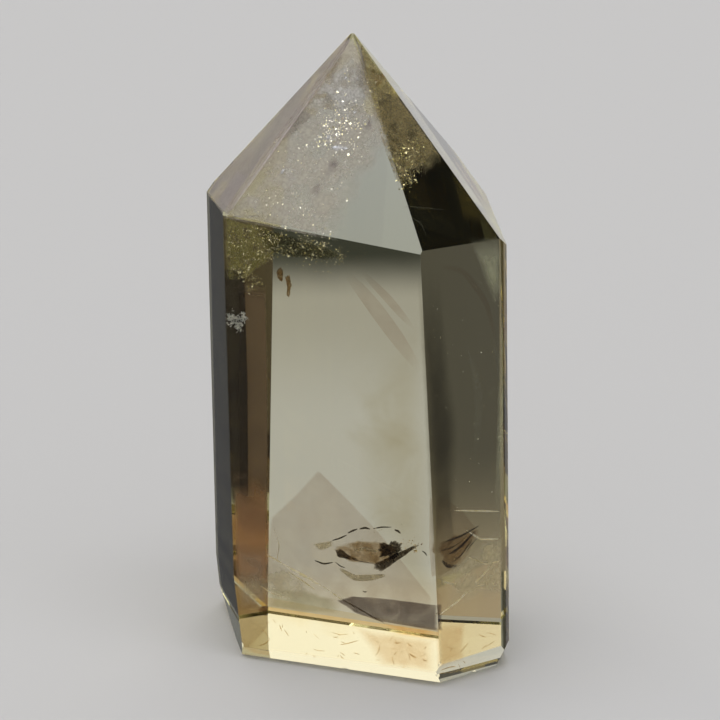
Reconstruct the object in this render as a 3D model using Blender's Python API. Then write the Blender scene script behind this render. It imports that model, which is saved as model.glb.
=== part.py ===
"""Citrine crystal point: one quartz crystal, sawn flat at its foot and polished into a tower.

The crystal is shaped the way a lapidary shapes it. A rough block is ground down one flat
facet at a time: six prism faces and a narrow one along a corner, seven facets that meet in
the point, the sawn base, and the slanted facets round the foot. The tip is worn to a tiny
flat, and a few small shell-shaped chips break the edges of the foot.

Frame: metres, +Z up, the origin at the centre of the base, the broad front face towards -Y.
An azimuth of 0 degrees faces -Y and grows towards +X.
"""

import math
from typing import NamedTuple

import bmesh
import bpy
from mathutils import Vector

MM = 0.001

# Driving dimensions, in millimetres and degrees.
POINT_HEIGHT = 80.0            # where the point's facets would meet, above the base
POINT_OFFSET = (-0.1, -2.1)    # the point stands a little off the block's axis
TIP_WEAR = 0.3                 # how much of the sharp tip is worn away
ROUGH_WIDTH = 60.0             # the rough block before any facet is ground
ROUGH_HEIGHT = 90.0
CHIP_DETAIL = 3                # subdivisions of the ball that stands for a chip's hollow

NODE = "citrine_point"


class SideFacet(NamedTuple):
    """A facet ground on the side of the block."""

    name: str
    azimuth: float    # the way it faces, in degrees
    lean: float       # how far its outward normal points up, in degrees
    reach: float      # from the block's axis to the facet at the height of the base, in mm


class PointFacet(NamedTuple):
    """A facet that runs through the point."""

    name: str
    azimuth: float    # the way it faces, in degrees
    slope: float      # its angle from the horizontal, in degrees


class Chip(NamedTuple):
    """A shell-shaped chip: a ball that dips into an edge."""

    name: str
    place: tuple      # a spot on the edge, in mm, in the block's own frame
    azimuth: float    # the way the chip opens, in degrees
    rise: float       # how far that way points up, in degrees
    radius: float     # of the ball, in mm
    depth: float      # how far the ball dips in, in mm


# A quartz prism's faces stand 60 degrees apart. Hand polishing moved some by up to a degree.
PRISM_FACETS = (
    SideFacet("front", 0.0, -0.9, 16.0),
    SideFacet("right", 59.5, 1.8, 23.05),
    SideFacet("right corner strip", 87.0, 1.3, 22.6),
    SideFacet("back right", 119.0, 0.5, 17.05),
    SideFacet("back", 179.5, 0.5, 12.4),
    SideFacet("back left", -119.3, 1.4, 17.5),
    SideFacet("left", -60.0, -1.3, 17.05),
)

# A quartz point's own faces slope at 51.8 degrees. The polished ones stay within a few of it.
POINT_FACETS = (
    PointFacet("front", 2.7, 55.6),
    PointFacet("right", 63.4, 48.2),
    PointFacet("back right", 117.6, 53.9),
    PointFacet("back right corner", 149.7, 49.5),
    PointFacet("back", 179.5, 51.8),
    PointFacet("back left", -120.0, 52.8),
    PointFacet("left", -68.0, 51.8),
)

# Facets that slant in towards the base: a long shallow one on the left, short ones elsewhere.
FOOT_FACETS = (
    SideFacet("front", 1.0, -40.0, 14.55),
    SideFacet("right", 60.0, -25.0, 21.45),
    SideFacet("right corner strip", 101.0, -25.0, 19.45),
    SideFacet("back right", 119.0, -25.0, 16.7),
    SideFacet("back", 179.5, -28.0, 12.15),
    SideFacet("back left", -119.3, -25.0, 17.2),
    SideFacet("left", -59.0, -6.0, 16.3),
    SideFacet("left low", -62.0, -20.0, 16.15),
)

CHIPS = (
    Chip("front right foot corner", (16.6, -15.2, 1.0), 30.0, -10.0, 0.9, 0.16),
    Chip("front right foot edge", (17.2, -16.0, 3.1), 30.0, 0.0, 0.8, 0.13),
    Chip("front foot, right part", (12.4, -16.0, 1.9), 0.0, -15.0, 1.0, 0.10),
    Chip("front base edge", (3.8, -14.5, 0.0), 0.0, -35.0, 1.0, 0.14),
    Chip("right base edge", (19.1, -9.7, 0.0), 60.0, -35.0, 0.9, 0.14),
    Chip("left foot edge", (-9.7, -16.0, 1.8), -30.0, -10.0, 1.0, 0.16),
)


def direction(azimuth: float, rise: float) -> Vector:
    """The unit vector that faces an azimuth and points up by a rise, both in degrees."""
    turn = math.radians(azimuth)
    lift = math.radians(rise)
    return Vector((math.sin(turn) * math.cos(lift), -math.cos(turn) * math.cos(lift), math.sin(lift)))


def clear_scene() -> None:
    """Remove every object of the scene."""
    for obj in list(bpy.data.objects):
        bpy.data.objects.remove(obj, do_unlink=True)


def new_collection(name: str) -> bpy.types.Collection:
    """Make a collection and link it to the scene."""
    collection = bpy.data.collections.new(name)
    bpy.context.scene.collection.children.link(collection)
    return collection


def rough_block(bm: bmesh.types.BMesh) -> None:
    """A block that stands on the base plane, wider than any facet reaches."""
    bmesh.ops.create_cube(bm, size=1.0)
    bmesh.ops.scale(bm, vec=Vector((ROUGH_WIDTH, ROUGH_WIDTH, ROUGH_HEIGHT)) * MM, verts=bm.verts)
    bmesh.ops.translate(bm, vec=Vector((0.0, 0.0, ROUGH_HEIGHT / 2)) * MM, verts=bm.verts)


def grind(bm: bmesh.types.BMesh, spot: Vector, outward: Vector) -> None:
    """Grind one flat facet: what lies beyond the plane goes, and the flat closes the block."""
    everything = bm.verts[:] + bm.edges[:] + bm.faces[:]
    cut = bmesh.ops.bisect_plane(bm, geom=everything, plane_co=spot, plane_no=outward, clear_outer=True)
    rim = [item for item in cut["geom_cut"] if isinstance(item, bmesh.types.BMEdge)]
    bmesh.ops.edgeloop_fill(bm, edges=rim)


def grind_sides(bm: bmesh.types.BMesh, facets: tuple) -> None:
    """Grind facets whose reach is given at the height of the base."""
    for facet in facets:
        spot = direction(facet.azimuth, 0.0) * facet.reach * MM
        grind(bm, spot, direction(facet.azimuth, facet.lean))


def grind_point(bm: bmesh.types.BMesh) -> None:
    """Grind the facets that meet in the point, then wear the tip to a tiny flat."""
    point = Vector((*POINT_OFFSET, POINT_HEIGHT)) * MM
    for facet in POINT_FACETS:
        grind(bm, point, direction(facet.azimuth, 90.0 - facet.slope))
    up = Vector((0.0, 0.0, 1.0))
    grind(bm, point - up * TIP_WEAR * MM, up)


def centring_step(bm: bmesh.types.BMesh) -> Vector:
    """The step along the base that brings the middle of the block's outline to the origin."""
    xs = [vert.co.x for vert in bm.verts]
    ys = [vert.co.y for vert in bm.verts]
    return Vector((-(min(xs) + max(xs)) / 2, -(min(ys) + max(ys)) / 2, 0.0))


def chip_cutter(chip: Chip, step: Vector, collection: bpy.types.Collection) -> bpy.types.Object:
    """A ball, hidden in renders, whose cut leaves one chip's hollow."""
    mesh = bpy.data.meshes.new("chip " + chip.name)
    bm = bmesh.new()
    bmesh.ops.create_icosphere(bm, subdivisions=CHIP_DETAIL, radius=chip.radius * MM)
    bm.to_mesh(mesh)
    bm.free()
    cutter = bpy.data.objects.new("chip " + chip.name, mesh)
    away = direction(chip.azimuth, chip.rise) * (chip.radius - chip.depth)
    cutter.location = (Vector(chip.place) + away) * MM + step
    cutter.hide_render = True
    cutter.display_type = "WIRE"
    collection.objects.link(cutter)
    return cutter


def quartz_material() -> bpy.types.Material:
    """Clear quartz with the pale smoky yellow of natural citrine, polished smooth."""
    material = bpy.data.materials.new("citrine quartz")
    material.use_nodes = True
    shader = material.node_tree.nodes["Principled BSDF"]
    shader.inputs["Base Color"].default_value = (0.62, 0.58, 0.40, 1.0)
    shader.inputs["Roughness"].default_value = 0.03
    shader.inputs["Metallic"].default_value = 0.0
    shader.inputs["IOR"].default_value = 1.544
    shader.inputs["Transmission Weight"].default_value = 0.9
    return material


def build_crystal() -> bpy.types.Object:
    """Grind the crystal, stand it on the origin, and chip its foot."""
    bm = bmesh.new()
    rough_block(bm)
    grind_sides(bm, PRISM_FACETS)
    grind_point(bm)
    grind_sides(bm, FOOT_FACETS)
    step = centring_step(bm)
    bmesh.ops.translate(bm, vec=step, verts=bm.verts)
    bmesh.ops.recalc_face_normals(bm, faces=bm.faces)
    mesh = bpy.data.meshes.new(NODE)
    bm.to_mesh(mesh)
    bm.free()
    mesh.materials.append(quartz_material())
    crystal = bpy.data.objects.new(NODE, mesh)
    new_collection("citrine crystal point").objects.link(crystal)
    cutters = new_collection("cutters")
    for chip in CHIPS:
        modifier = crystal.modifiers.new("chip " + chip.name, "BOOLEAN")
        modifier.operation = "DIFFERENCE"
        modifier.solver = "EXACT"
        modifier.object = chip_cutter(chip, step, cutters)
    return crystal


def main() -> None:
    """Build the crystal point in an empty scene."""
    clear_scene()
    build_crystal()


main()
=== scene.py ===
"""The looks of a citrine crystal point: clear pale smoky-yellow quartz with what grew inside it.

Units are millimetres and degrees in the classes' fields, and metres in the meshes. The frame is
the part's own: +Z up, the origin at the centre of the base, the broad front face towards -Y.
"""

import logging
import math
from dataclasses import dataclass, fields
from enum import Enum

import bmesh
import bpy
import numpy as np
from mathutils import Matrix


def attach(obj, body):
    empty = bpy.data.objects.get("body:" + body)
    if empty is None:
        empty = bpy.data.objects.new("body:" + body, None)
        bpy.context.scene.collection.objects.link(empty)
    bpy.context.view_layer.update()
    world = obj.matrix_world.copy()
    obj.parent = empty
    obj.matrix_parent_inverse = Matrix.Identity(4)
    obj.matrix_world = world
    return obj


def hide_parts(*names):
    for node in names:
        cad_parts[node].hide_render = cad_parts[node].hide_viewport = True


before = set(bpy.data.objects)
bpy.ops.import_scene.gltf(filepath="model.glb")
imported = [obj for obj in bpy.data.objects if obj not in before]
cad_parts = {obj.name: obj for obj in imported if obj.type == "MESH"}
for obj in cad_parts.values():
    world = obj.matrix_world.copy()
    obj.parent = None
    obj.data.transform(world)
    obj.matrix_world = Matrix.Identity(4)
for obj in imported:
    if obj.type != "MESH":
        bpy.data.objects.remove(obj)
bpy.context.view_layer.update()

MM = 0.001
NODE = "citrine_point"
BODY = "root"
LOOK_AZIMUTH = 21.67       # the way the camera stands, and the studio is turned to it
LOOK_DROP = 19.907         # how far below level it looks
QUARTZ_IOR = 1.544
MAIN_LIGHT = (0.0, -0.42, 0.91)    # the way to the overhead light, which the flakes mirror
WHITE = (1.0, 1.0, 1.0, 1.0)
TURN = 2 * np.pi

log = logging.getLogger("citrine")

Part = tuple[np.ndarray, np.ndarray, np.ndarray]   # corners in mm, triangles, and for each corner
                                                   # 0 at the rim to 1 in the middle
Place = tuple[float, float, float]
Span = tuple[float, float]


# --------------------------------------------------------------------------- shared helpers


def linear(hex_colour: str) -> tuple[float, float, float, float]:
    """Turn an sRGB hex colour to linear light.

    Args:
        hex_colour: six hex digits, such as "C8C4B0".

    Returns:
        Red, green and blue in linear light, and an alpha of 1.
    """
    srgb = np.array([int(hex_colour[i:i + 2], 16) for i in (0, 2, 4)]) / 255
    light = np.where(srgb <= 0.04045, srgb / 12.92, ((srgb + 0.055) / 1.055) ** 2.4)
    return (*map(float, light), 1.0)


def add_node(tree: bpy.types.NodeTree, kind: str, settings: dict | None = None,
             links: dict | None = None) -> bpy.types.Node:
    """Add a node with its settings and links.

    Args:
        tree: the node tree.
        kind: the node's Blender type.
        settings: values, by the name of a property, or by the name or number of an input.
        links: output sockets, by the name or number of the input that each one feeds.

    Returns:
        The new node.
    """
    node = tree.nodes.new(kind)
    for key, value in (settings or {}).items():
        if isinstance(key, str) and hasattr(node, key):
            setattr(node, key, value)
        else:
            node.inputs[key].default_value = value
    for key, socket in (links or {}).items():
        tree.links.new(socket, node.inputs[key])
    return node


def place_in_scene(name: str, data: bpy.types.ID) -> bpy.types.Object:
    """Make an object of a mesh or a camera and put it in the scene."""
    made = bpy.data.objects.new(name, data)
    bpy.context.scene.collection.objects.link(made)
    return made


# --------------------------------------------------------------------------- shared geometry


def piece(name: str, parts: list[Part], smooth: bool) -> bpy.types.Object:
    """Join closed parts into one piece that rides with the crystal.

    Args:
        name: the piece's name.
        parts: its closed parts.
        smooth: whether its shading runs smoothly over the faces.

    Returns:
        The object, at the origin, with its place in its mesh.
    """
    starts = np.cumsum([0] + [len(part[0]) for part in parts])
    corners = np.concatenate([part[0] for part in parts]) * MM
    faces = np.concatenate([part[1] + start for part, start in zip(parts, starts)])
    mesh = bpy.data.meshes.new(name)
    mesh.vertices.add(len(corners))
    mesh.vertices.foreach_set("co", corners.astype(np.float32).ravel())
    mesh.loops.add(faces.size)
    mesh.loops.foreach_set("vertex_index", faces.astype(np.int32).ravel())
    mesh.polygons.add(len(faces))
    mesh.polygons.foreach_set("loop_start", np.arange(0, faces.size, 3, dtype=np.int32))
    mesh.polygons.foreach_set("use_smooth", np.full(len(faces), smooth))
    mesh.update(calc_edges=True)
    rim = mesh.attributes.new("from_rim", "FLOAT", "POINT")
    rim.data.foreach_set("value", np.concatenate([part[2] for part in parts]).astype(np.float32))
    made = place_in_scene(name, mesh)
    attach(made, BODY)
    return made


def unit(vector: np.ndarray) -> np.ndarray:
    """Vectors scaled to length one."""
    return vector / np.linalg.norm(vector, axis=-1, keepdims=True)


def closed_grid(rows: int, columns: int) -> np.ndarray:
    """Triangles of a closed tube of rings, with a point at each end.

    The corners are one point, then rows of ring corners, then one point.
    """
    row, column = (axis.ravel() for axis in np.meshgrid(np.arange(rows - 1), np.arange(columns),
                                                         indexing="ij"))
    near, far = 1 + row * columns, 1 + (row + 1) * columns
    after = (column + 1) % columns
    sides = np.concatenate([np.stack([near + column, near + after, far + after], axis=1),
                            np.stack([near + column, far + after, far + column], axis=1)])
    rim = np.arange(columns)
    last = 1 + (rows - 1) * columns
    first_cap = np.stack([np.zeros_like(rim), 1 + (rim + 1) % columns, 1 + rim], axis=1)
    last_cap = np.stack([np.full_like(rim, rows * columns + 1), last + rim,
                         last + (rim + 1) % columns], axis=1)
    return np.concatenate([first_cap, sides, last_cap])


def facet_planes() -> tuple[np.ndarray, np.ndarray]:
    """The crystal's own facets as outward normals and distances from the origin, in mm."""
    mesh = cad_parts[NODE].data
    corners = np.empty(len(mesh.vertices) * 3)
    mesh.vertices.foreach_get("co", corners)
    normals, centres = np.empty((2, len(mesh.polygons) * 3))
    mesh.polygons.foreach_get("normal", normals)
    mesh.polygons.foreach_get("center", centres)
    normals = normals.reshape(-1, 3)
    distances = np.einsum("ij,ij->i", normals, centres.reshape(-1, 3) / MM)
    own = (corners.reshape(-1, 3) / MM @ normals.T).max(axis=0) < distances + 0.01
    return normals[own], distances[own]


PLANES = facet_planes()


def room(centre: np.ndarray, ways: np.ndarray, margin: float | np.ndarray) -> np.ndarray:
    """How far one can go from a place inside the crystal before a facet is a margin away.

    Args:
        centre: the place, in mm.
        ways: directions of length one.
        margin: the distance kept from every facet, or one for each, in mm.

    Returns:
        The distance for each direction: the least of (d - margin - n.c) / (n.way) over the facets.
    """
    normals, distances = PLANES
    slack = distances - margin - normals @ centre
    closing = ways @ normals.T
    return np.where(closing > 1e-6, slack / np.maximum(closing, 1e-6), 1e9).min(axis=-1)


class Facet(Enum):
    """The facets that one looks in through, each with the way it roughly faces."""

    FRONT = (0.0, -1.0, 0.0)
    RIGHT = (0.86, -0.51, 0.03)
    TIP_FRONT = (0.04, -0.82, 0.57)
    TIP_RIGHT = (0.67, -0.33, 0.67)
    TIP_LEFT = (-0.73, -0.29, 0.62)

    def plane(self) -> tuple[np.ndarray, float]:
        """The facet's exact outward normal and its distance from the origin, in mm."""
        normals, distances = PLANES
        nearest = int(np.argmax(normals @ np.array(self.value)))
        return normals[nearest], float(distances[nearest])

    def way_in(self) -> np.ndarray:
        """The looking direction once it has been bent by the quartz behind this facet."""
        normal, _ = self.plane()
        turn, drop = math.radians(LOOK_AZIMUTH), math.radians(LOOK_DROP)
        look = np.array([-math.sin(turn) * math.cos(drop), math.cos(turn) * math.cos(drop),
                         -math.sin(drop)])
        facing = -float(normal @ look)
        bent = 1 / QUARTZ_IOR
        return bent * look + (bent * facing - math.sqrt(1 - bent ** 2 * (1 - facing ** 2))) * normal

    def mirror(self) -> np.ndarray:
        """The way a flake must face to send the main light back out of this facet."""
        normal, _ = self.plane()
        light = unit(np.array(MAIN_LIGHT))
        level = (light - light @ normal * normal) / QUARTZ_IOR
        inner = level + math.sqrt(1 - level @ level) * normal
        return unit(inner - self.way_in())

    def own_view(self, depth: float, least: float = 0.22) -> np.ndarray:
        """How far a thing this deep stays off each facet so that only this facet shows it, in mm."""
        normals, _ = PLANES
        same = normals @ self.plane()[0] > 0.95
        return np.where(same, least, np.maximum(least, -depth * (normals @ self.way_in())))

    def at(self, x: float | np.ndarray, z: float | np.ndarray, depth: float | np.ndarray
           ) -> np.ndarray:
        """Places at a depth behind the facet, along the bent looking direction.

        Args:
            x: where the look meets the facet, in mm.
            z: the same, upward.
            depth: how far it has gone on inside, in mm.

        Returns:
            The places, in mm, one in each row.
        """
        normal, distance = self.plane()
        x, z, depth = np.broadcast_arrays(*(np.asarray(value, float) for value in (x, z, depth)))
        y = (distance - normal[0] * x - normal[2] * z) / normal[1]
        return np.stack([x, y, z], axis=-1) + depth[..., None] * self.way_in()


FRONT, RIGHT, TIP_FRONT, TIP_RIGHT, TIP_LEFT = Facet


def disc(centre: np.ndarray, normal: np.ndarray, spoke: np.ndarray, orders: tuple[int, ...],
         thickness: float, ragged: float, bulge: float, ripple: float, seed: int,
         margin: float | np.ndarray, rings: int = 8) -> Part:
    """A thin closed disc, thickest in the middle: the shape of a crack, a veil or a scale.

    A point is centre + r R(a), plus along the normal bulge (1 - r^2) + ripple r sin(3a + 4r + ...)
    +- thickness / 2 sqrt(1 - r^2). R(a) is a spoke made ragged by a few sine waves, and it never
    comes nearer to a facet than the margin.

    Args:
        centre: the middle, in mm.
        normal: the way it faces, of length one.
        spoke: from the middle to the rim, one for each corner of the rim, in mm.
        orders: how many times each sine wave goes round.
        thickness: at the middle, in mm.
        ragged: how much the outline strays, as a share of the radius.
        bulge: how far the middle stands out, in mm.
        ripple: height of its waves, in mm.
        seed: for the outline's waves.
        margin: distance kept from the facets, or one for each facet, in mm.
        rings: rows between the middle and the rim.

    Returns:
        The closed part.
    """
    count = len(spoke)
    angle = np.linspace(0.0, TURN, count, endpoint=False)
    phases = np.random.default_rng(seed).uniform(0, TURN, len(orders))
    waves = np.sin(angle[:, None] * np.array(orders) + phases) / np.sqrt(orders)
    spoke = spoke * (1.0 + ragged * waves.sum(axis=1))[:, None]
    length = np.linalg.norm(spoke, axis=1)
    ways = spoke / length[:, None]
    length = np.minimum(length, np.maximum(room(centre, ways, margin), 0.02))
    share = np.sin(np.linspace(0.0, np.pi / 2, rings + 1))[1:, None]
    place = centre + share[..., None] * (ways * length[:, None])[None]
    height = bulge * (1 - share ** 2) + ripple * share * np.sin(3 * angle + 4 * share + phases[0])
    half = thickness / 2 * np.sqrt(np.maximum(1 - share ** 2, 0.0))
    top = place + (height + half)[..., None] * normal
    bottom = place + (height - half)[..., None] * normal
    corners = np.concatenate([(centre + normal * (bulge - thickness / 2))[None],
                              bottom.reshape(-1, 3), top[-2::-1].reshape(-1, 3),
                              (centre + normal * (bulge + thickness / 2))[None]])
    inward = np.repeat(1 - np.concatenate([share, share[-2::-1]]), count)
    return corners, closed_grid(2 * rings - 1, count), np.concatenate([[1.0], inward, [1.0]])


def lens(centre: np.ndarray, normal: np.ndarray, radii: Span, turn: float, spokes: int,
         **shape: float | np.ndarray) -> Part:
    """An elliptical disc.

    Args:
        centre: the middle, in mm.
        normal: the way it faces, of length one.
        radii: half its size, level and upward in its plane, in mm.
        turn: of the ellipse in its plane, in degrees.
        spokes: corners round the rim.
        **shape: the disc's other sizes.

    Returns:
        The closed part.
    """
    level = unit(np.cross((0.0, 0.0, 1.0), normal))
    upward = np.cross(normal, level)
    angle = np.linspace(0.0, TURN, spokes, endpoint=False)[:, None]
    tilt = math.radians(turn)
    axis_a = level * math.cos(tilt) + upward * math.sin(tilt)
    axis_b = upward * math.cos(tilt) - level * math.sin(tilt)
    spoke = axis_a * np.cos(angle) * radii[0] + axis_b * np.sin(angle) * radii[1]
    return disc(centre, normal, spoke, (2, 3, 5, 7, 11, 17, 26), **shape)


def between(points: np.ndarray, knots: np.ndarray, steps: np.ndarray) -> np.ndarray:
    """Places at some steps along the straight lines between points, which stand at the knots."""
    return np.stack([np.interp(steps, knots, points[:, axis]) for axis in range(3)], axis=1)


def sheet(outline: np.ndarray, spokes: int = 96, **shape: float) -> Part:
    """A disc with any outline that its middle can see all of.

    Args:
        outline: its corners, in mm.
        spokes: corners round the rim.
        **shape: the disc's other sizes.

    Returns:
        The closed part.
    """
    centre = outline.mean(axis=0)
    loop = outline - centre
    normal = np.linalg.svd(loop)[2][2]
    if normal @ np.array([0.3, -0.9, 0.3]) <= 0:       # it faces the one who looks
        normal = -normal
    level = unit(loop[0] - loop[0] @ normal * normal)
    loop = loop[np.argsort(np.arctan2(loop @ np.cross(normal, level), loop @ level))]
    spoke = between(np.concatenate([loop, loop[:1]]), np.arange(len(loop) + 1),
                    np.linspace(0.0, len(loop), spokes, endpoint=False))
    return disc(centre, normal, spoke, (3, 5, 8, 13, 21, 34), bulge=0.0, **shape)


def stroke(path: np.ndarray, width: float, sides: int, steps: int, flat: float, facing: np.ndarray
           ) -> Part:
    """A closed stroke that tapers to a point at both ends, carried along a smooth path.

    A point is path(s) + width / 2 sqrt(sin(pi s)) (aside cos a + flat facing sin a).

    Args:
        path: the points that the stroke passes near, in mm.
        width: at its middle, in mm.
        sides: corners round it.
        steps: rings along it.
        flat: its depth as a share of its width.
        facing: the way its flat side faces, of length one.

    Returns:
        The closed part.
    """
    s = np.linspace(0.0, 1.0, steps + 2)
    line = between(path, np.linspace(0.0, 1.0, len(path)), s)
    for _ in range(3):
        line[1:-1] = (line[:-2] + 2 * line[1:-1] + line[2:]) / 4
    aside = unit(np.cross(unit(np.gradient(line, axis=0)), facing))
    angle = np.linspace(0.0, TURN, sides, endpoint=False)[:, None]
    size = width / 2 * np.sqrt(np.sin(np.pi * s))[1:-1, None, None]
    rings = line[1:-1, None] + size * (aside[1:-1, None] * np.cos(angle)
                                       + flat * facing * np.sin(angle))
    corners = np.concatenate([line[:1], rings.reshape(-1, 3), line[-1:]])
    inward = np.repeat(np.sin(np.pi * s)[1:-1], sides)
    return corners, closed_grid(steps, sides), np.concatenate([[0.0], inward, [0.0]])


def flakes(places: np.ndarray, sizes: np.ndarray, normals: np.ndarray, seed: int) -> Part:
    """Many tiny flat flakes, each an eight-sided double point.

    Args:
        places: the middle of each, in mm.
        sizes: half length, half width and half thickness of each, in mm.
        normals: the way each faces.
        seed: for their turns.

    Returns:
        The closed part.
    """
    count = len(places)
    chance = np.random.default_rng(seed)
    side = unit(np.cross(normals, unit(chance.normal(size=(count, 3)))))
    reach = sizes[..., None] * np.stack([side, np.cross(normals, side), normals], axis=1)
    base = np.stack([reach, -reach], axis=2).reshape(count, 6, 3)
    shape = np.array([[0, 2, 4], [2, 1, 4], [1, 3, 4], [3, 0, 4], [2, 0, 5], [1, 2, 5], [3, 1, 5],
                      [0, 3, 5]])
    triangles = (np.arange(count)[:, None, None] * 6 + shape).reshape(-1, 3)
    return (places[:, None] + base).reshape(-1, 3), triangles, np.ones(6 * count)


# --------------------------------------------------------------------------- finishes


def blank(name: str) -> tuple[bpy.types.Material, bpy.types.NodeTree, bpy.types.NodeSocket]:
    """A new material, its empty node tree and its object coordinates."""
    mat = bpy.data.materials.new(name)
    mat.use_nodes = True
    mat.node_tree.nodes.clear()
    return mat, mat.node_tree, add_node(mat.node_tree, "ShaderNodeTexCoord").outputs["Object"]


def fading(tree: bpy.types.NodeTree, place: bpy.types.NodeSocket, soft: float,
           fade: tuple[Place, Place] | None, wander: bpy.types.NodeSocket) -> bpy.types.NodeSocket:
    """How much of a veil is there: it thins toward its rim, and from one place to another.

    Args:
        tree: the node tree.
        place: the object coordinates.
        soft: how far in from the rim the veil is still thinning, as a share of its radius.
        fade: a place where it is gone and a place where it is full, in mm.
        wander: a noise value that makes the fading front wander.

    Returns:
        A value from 0 to 1.
    """
    rim = add_node(tree, "ShaderNodeAttribute", {"attribute_name": "from_rim"})
    mask = add_node(tree, "ShaderNodeMapRange",
                    {"interpolation_type": "SMOOTHSTEP", "From Min": 0.0, "From Max": soft},
                    {"Value": rim.outputs["Fac"]}).outputs[0]
    if fade is None:
        return mask
    start, end = np.array(fade) * MM
    way = (end - start) / np.dot(end - start, end - start)
    first = float(np.dot(start, way))
    along = add_node(tree, "ShaderNodeVectorMath", {"operation": "DOT_PRODUCT", 1: tuple(way)},
                     {0: place})
    strayed = add_node(tree, "ShaderNodeMath", {"operation": "MULTIPLY_ADD", 1: 1.2, 2: -0.6},
                       {0: wander})
    along = add_node(tree, "ShaderNodeMath", {"operation": "ADD"},
                     {0: along.outputs["Value"], 1: strayed.outputs[0]})
    front = add_node(tree, "ShaderNodeMapRange",
                     {"interpolation_type": "SMOOTHSTEP", "From Min": first, "From Max": first + 1.0},
                     {"Value": along.outputs[0]})
    return add_node(tree, "ShaderNodeMath", {"operation": "MULTIPLY"},
                    {0: mask, 1: front.outputs[0]}).outputs[0]


def cover(tree: bpy.types.NodeTree, share: bpy.types.Node, clear: bpy.types.Node,
          skin: bpy.types.Node) -> None:
    """End a material as a share of skin over a clear crack."""
    mixed = add_node(tree, "ShaderNodeMixShader", None,
                     {0: share.outputs[0], 1: clear.outputs[0], 2: skin.outputs[0]})
    add_node(tree, "ShaderNodeOutputMaterial", None, {"Surface": mixed.outputs[0]})


@dataclass(frozen=True)
class PolishedCitrine:
    """Natural citrine quartz, ground and hand polished: clear, faintly wavy, deeper where thick."""

    tint: str = "E7E1A0"               # what a thick piece lets through
    density: float = 20.0              # absorption per metre
    wave: float = 9.0                  # mm between the slow waves that hand polishing leaves
    wave_height: float = 0.2           # mm
    wave_strength: float = 0.012

    def material(self) -> bpy.types.Material:
        """Make the material: see-through, with plain absorption inside."""
        mat, tree, place = blank("citrine_quartz_polished")
        waves = add_node(tree, "ShaderNodeTexNoise",
                         {"Scale": 1 / (self.wave * MM), "Detail": 1.0}, {"Vector": place})
        bump = add_node(tree, "ShaderNodeBump",
                        {"Strength": self.wave_strength, "Distance": self.wave_height * MM},
                        {"Height": waves.outputs["Fac"]})
        shader = add_node(tree, "ShaderNodeBsdfPrincipled",
                          {"Base Color": WHITE, "Roughness": 0.0, "IOR": QUARTZ_IOR,
                           "Transmission Weight": 1.0}, {"Normal": bump.outputs["Normal"]})
        depth = add_node(tree, "ShaderNodeVolumeAbsorption",
                         {"Color": linear(self.tint), "Density": self.density})
        add_node(tree, "ShaderNodeOutputMaterial", None,
                 {"Surface": shader.outputs[0], "Volume": depth.outputs[0]})
        return mat


@dataclass(frozen=True)
class MineralMist:
    """Clouds of tiny fluid bubbles in quartz: a milky veil, thicker and thinner in patches."""

    name: str
    colour: str
    thick: float                       # share of light that the thickest patches stop
    thin: float                        # and the thinnest
    patch: float                       # mm between patches
    noise: Span                        # noise values where it starts and where it is thick
    soft: float                        # how far in from the rim it is still thinning
    speckle: float                     # mm between the finest specks
    speckle_share: float               # how much they stand out
    fade: tuple[Place, Place] | None = None            # from where it is gone to where it is full
    glow: float = 0.45                 # share of its light that comes through from behind

    def material(self) -> bpy.types.Material:
        """Make the material: a share of milky light over clear quartz."""
        mat, tree, place = blank("mineral_mist_" + self.name)
        cloud = add_node(tree, "ShaderNodeTexNoise",
                         {"Scale": 1 / (self.patch * MM), "Detail": 6.0, "Roughness": 0.62},
                         {"Vector": place}).outputs["Fac"]
        share = add_node(tree, "ShaderNodeMapRange",
                         {"interpolation_type": "SMOOTHSTEP", "From Min": self.noise[0],
                          "From Max": self.noise[1], "To Min": self.thin, "To Max": self.thick},
                         {"Value": cloud})
        specks = add_node(tree, "ShaderNodeTexNoise",
                          {"Scale": 1 / (self.speckle * MM), "Detail": 2.0}, {"Vector": place})
        grain = add_node(tree, "ShaderNodeMapRange",
                         {"From Min": 0.35, "From Max": 0.65, "To Min": 1 - self.speckle_share,
                          "To Max": 1 + self.speckle_share}, {"Value": specks.outputs["Fac"]})
        for factor in (grain.outputs[0], fading(tree, place, self.soft, self.fade, cloud)):
            share = add_node(tree, "ShaderNodeMath", {"operation": "MULTIPLY"},
                             {0: share.outputs[0], 1: factor})
        held = add_node(tree, "ShaderNodeMath", {"operation": "MINIMUM", "use_clamp": True, 1: 1.0},
                        {0: share.outputs[0]})
        milk, through = (add_node(tree, kind, {"Color": linear(self.colour)})
                         for kind in ("ShaderNodeBsdfDiffuse", "ShaderNodeBsdfTranslucent"))
        glow = add_node(tree, "ShaderNodeMixShader", {0: self.glow},
                        {1: milk.outputs[0], 2: through.outputs[0]})
        cover(tree, held, add_node(tree, "ShaderNodeBsdfTransparent", {"Color": WHITE}), glow)
        return mat


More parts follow.
